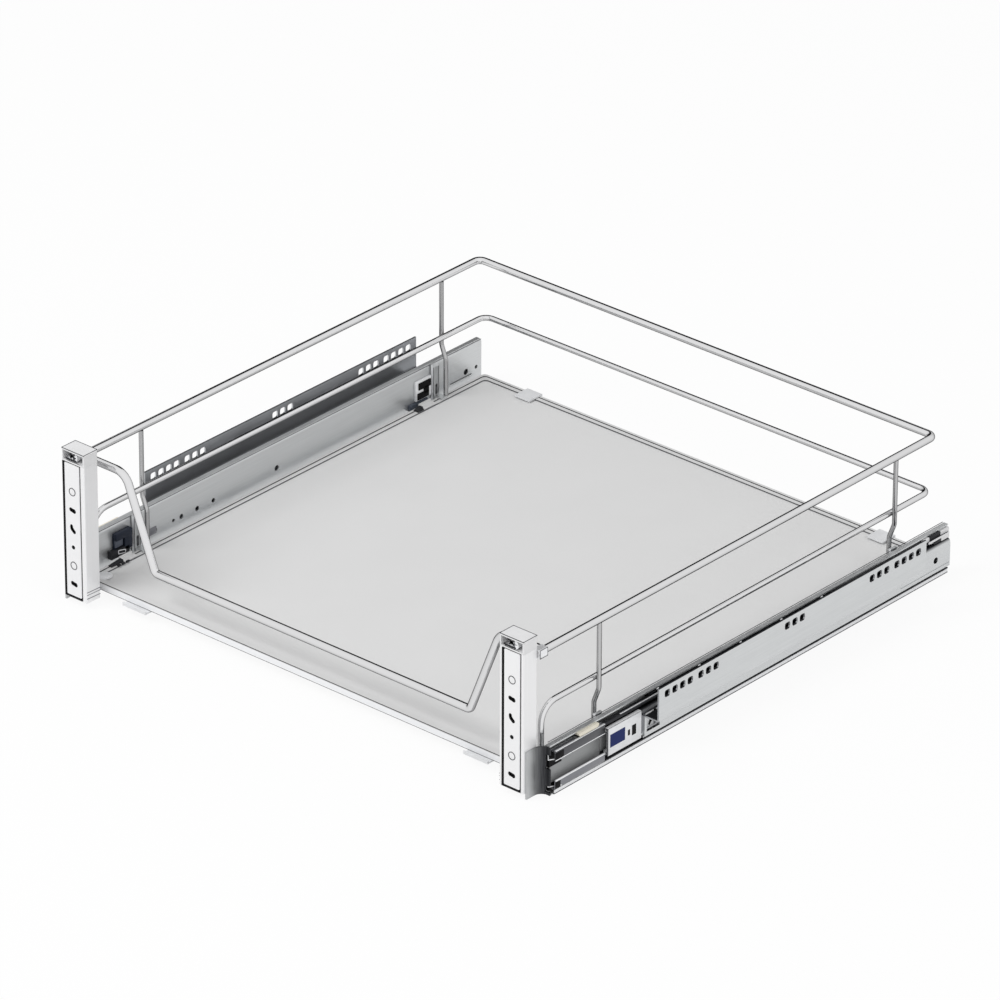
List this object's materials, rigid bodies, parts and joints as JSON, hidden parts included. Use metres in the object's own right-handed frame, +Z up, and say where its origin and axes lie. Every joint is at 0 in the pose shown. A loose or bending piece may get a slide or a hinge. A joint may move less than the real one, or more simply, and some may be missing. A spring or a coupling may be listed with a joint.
{
  "type": "pull-out basket drawer",
  "caption": "Pull-out wire basket drawer for a kitchen cabinet: flat tray, two basket rails, dipped front rail, front uprights and soft-close ball-bearing runners.",
  "frame": {"origin": "under the middle of the closed drawer, level with the lower edge of the runners", "axes": "X across the cabinet to the right, Y to the back of the cabinet, Z up; the drawer opens toward -Y"},
  "size_m": [0.564, 0.523, 0.1428],
  "materials": {
    "runner_steel": "zinc plated, satin",
    "bracket_steel": "dark grey, satin",
    "chrome_wire": "bright polished",
    "tray_steel": "light grey, satin",
    "floor_panel": "light grey laminate, matt",
    "white_plastic": "moulded, satin",
    "upright_aluminium": "fine satin, near white",
    "black_rubber": "matt black",
    "navy_plastic": "moulded, satin",
    "dark_plastic": "moulded, satin",
    "cream_plastic": "moulded, satin",
    "cage_steel": "stamped",
    "ball_steel": "polished",
    "zinc_cam": "die cast"
  },
  "bodies": {
    "cabinet_side": {"cabinet_rail_right": "runner_steel", "cabinet_rail_left": "runner_steel", "mounting_plate_right": "runner_steel", "mounting_plate_left": "runner_steel", "soft_close_housing_right": "white_plastic", "soft_close_housing_left": "white_plastic"},
    "basket": {"drawer_rail_right": "runner_steel", "drawer_rail_left": "runner_steel", "front_stop_right": "black_rubber", "front_stop_left": "black_rubber", "guide_pad_right": "cream_plastic", "guide_pad_left": "cream_plastic", "front_bracket_right": "bracket_steel", "front_bracket_left": "bracket_steel", "front_hanger_right": "tray_steel", "front_hanger_left": "tray_steel", "rear_hanger_right": "tray_steel", "rear_hanger_left": "tray_steel", "rear_hook_right": "dark_plastic", "rear_hook_left": "dark_plastic", "front_stay_right": "chrome_wire", "front_stay_left": "chrome_wire", "rear_stay_right": "chrome_wire", "rear_stay_left": "chrome_wire", "upright_right": "upright_aluminium", "upright_left": "upright_aluminium", "gasket_right": "black_rubber", "gasket_left": "black_rubber", "fixing_plate_right": "upright_aluminium", "fixing_plate_left": "upright_aluminium", "upright_cap_right": "upright_aluminium", "upright_cap_left": "upright_aluminium", "adjuster_right": "zinc_cam", "adjuster_left": "zinc_cam", "top_rail": "chrome_wire", "lower_rail": "chrome_wire", "rail_collars": "upright_aluminium", "front_dip_rail": "chrome_wire", "base_frame": "tray_steel", "base_panel": "floor_panel", "panel_clips": "white_plastic", "side_keepers": "tray_steel", "keeper_wedges": "black_rubber", "plate_rivets": "upright_aluminium"},
    "middle_right": {"middle_rail_right": "runner_steel", "rear_stop_right": "navy_plastic"},
    "outer_cage_right": {"outer_ball_cage_right": "cage_steel", "outer_balls_right": "ball_steel"},
    "inner_cage_right": {"inner_ball_cage_right": "cage_steel", "inner_balls_right": "ball_steel"},
    "catch_right": {"soft_close_catch_right": "dark_plastic"},
    "latch_right": {"front_latch_right": "navy_plastic"},
    "middle_left": {"middle_rail_left": "runner_steel", "rear_stop_left": "navy_plastic"},
    "outer_cage_left": {"outer_ball_cage_left": "cage_steel", "outer_balls_left": "ball_steel"},
    "inner_cage_left": {"inner_ball_cage_left": "cage_steel", "inner_balls_left": "ball_steel"},
    "catch_left": {"soft_close_catch_left": "dark_plastic"},
    "latch_left": {"front_latch_left": "navy_plastic"}
  },
  "joints": [
    {"name": "basket_slide", "type": "slide", "parent": "cabinet_side", "child": "basket", "axis": [0, -1, 0], "range_m": [0, 0.45]},
    {"name": "middle_slide_right", "type": "slide", "parent": "cabinet_side", "child": "middle_right", "axis": [0, -1, 0], "range_m": [0, 0.225]},
    {"name": "outer_cage_slide_right", "type": "slide", "parent": "cabinet_side", "child": "outer_cage_right", "axis": [0, -1, 0], "range_m": [0, 0.3375]},
    {"name": "inner_cage_slide_right", "type": "slide", "parent": "cabinet_side", "child": "inner_cage_right", "axis": [0, -1, 0], "range_m": [0, 0.1125]},
    {"name": "catch_slide_right", "type": "slide", "parent": "cabinet_side", "child": "catch_right", "axis": [0, -1, 0], "range_m": [0, 0.035], "stiffness_N_per_m": 40},
    {"name": "latch_slide_right", "type": "slide", "parent": "basket", "child": "latch_right", "axis": [0, -1, 0], "range_m": [0, 0.006], "stiffness_N_per_m": 150},
    {"name": "middle_slide_left", "type": "slide", "parent": "cabinet_side", "child": "middle_left", "axis": [0, -1, 0], "range_m": [0, 0.225]},
    {"name": "outer_cage_slide_left", "type": "slide", "parent": "cabinet_side", "child": "outer_cage_left", "axis": [0, -1, 0], "range_m": [0, 0.3375]},
    {"name": "inner_cage_slide_left", "type": "slide", "parent": "cabinet_side", "child": "inner_cage_left", "axis": [0, -1, 0], "range_m": [0, 0.1125]},
    {"name": "catch_slide_left", "type": "slide", "parent": "cabinet_side", "child": "catch_left", "axis": [0, -1, 0], "range_m": [0, 0.035], "stiffness_N_per_m": 40},
    {"name": "latch_slide_left", "type": "slide", "parent": "basket", "child": "latch_left", "axis": [0, -1, 0], "range_m": [0, 0.006], "stiffness_N_per_m": 150}
  ],
  "couplings": [
    {"joint": "middle_slide_right", "follows": "basket_slide", "ratio": 0.5},
    {"joint": "outer_cage_slide_right", "follows": "basket_slide", "ratio": 0.75},
    {"joint": "inner_cage_slide_right", "follows": "basket_slide", "ratio": 0.25},
    {"joint": "middle_slide_left", "follows": "basket_slide", "ratio": 0.5},
    {"joint": "outer_cage_slide_left", "follows": "basket_slide", "ratio": 0.75},
    {"joint": "inner_cage_slide_left", "follows": "basket_slide", "ratio": 0.25}
  ]
}
